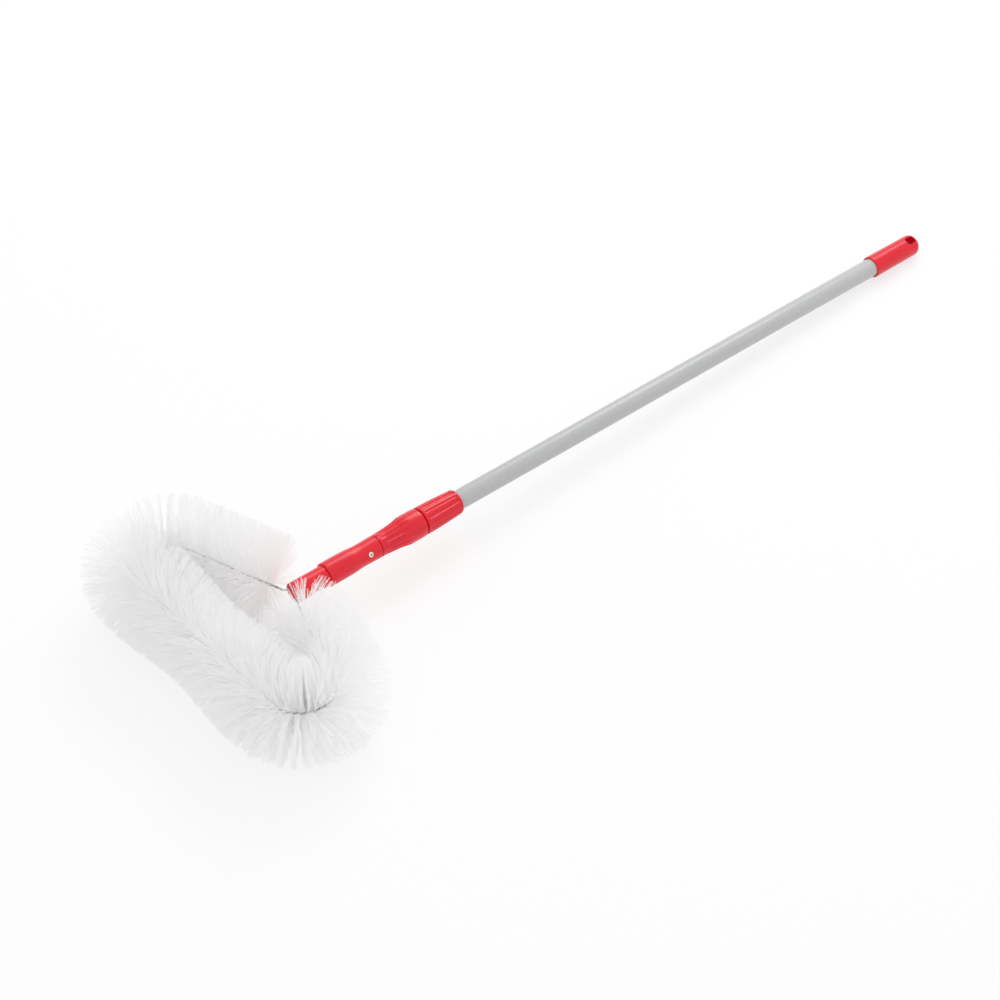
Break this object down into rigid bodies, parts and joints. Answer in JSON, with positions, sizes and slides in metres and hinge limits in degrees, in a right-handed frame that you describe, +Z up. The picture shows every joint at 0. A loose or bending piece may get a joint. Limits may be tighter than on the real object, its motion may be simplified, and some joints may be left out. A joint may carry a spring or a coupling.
{
  "type": "cobweb brush",
  "caption": "Looped twisted-wire brush with soft bristles on a telescopic twist-lock pole with a hanging cap, for dusting cobwebs out of high corners.",
  "frame": {"origin": "centre of the bounding box at the ground, with the tool lying on its bristles and its cap", "axes": "+X along the pole towards the hanging cap, +Y across the brush, +Z up"},
  "size_m": [1.121, 0.406, 0.1165],
  "materials": {
    "grey_paint": "satin light grey paint",
    "red_plastic": "moulded, semi-gloss red",
    "pale_plastic": "moulded, natural white",
    "steel_wire": "galvanised wire",
    "rivet_metal": "pale, slightly warm metal",
    "bristle_fibre": "fine white filament"
  },
  "bodies": {
    "outer_pole": {"outer_tube": "grey_paint", "hang_cap": "red_plastic", "lock_body": "red_plastic", "lock_collet": "pale_plastic"},
    "twist_nut": {"lock_nut": "red_plastic"},
    "slide_guide": {"guide_bush": "pale_plastic"},
    "inner_pole": {"inner_tube": "grey_paint", "brush_socket": "red_plastic", "socket_rivet": "rivet_metal", "wire_holder": "red_plastic", "wire_core": "steel_wire", "bristles_near_left": "bristle_fibre", "bristles_far_left": "bristle_fibre", "bristles_near_right": "bristle_fibre", "bristles_far_right": "bristle_fibre"}
  },
  "joints": [
    {"name": "nut_twist", "type": "hinge", "parent": "outer_pole", "child": "twist_nut", "pos_m": [-0.24866, 0, 0.04881], "axis": [-0.999, 0, 0.0454], "range_deg": [0, 180]},
    {"name": "pole_slide", "type": "slide", "parent": "outer_pole", "child": "slide_guide", "axis": [-0.999, 0, 0.0454], "range_m": [0, 0.5]},
    {"name": "pole_turn", "type": "hinge", "parent": "slide_guide", "child": "inner_pole", "pos_m": [0.38368, 0, 0.02007], "axis": [-0.999, 0, 0.0454], "continuous": true}
  ]
}
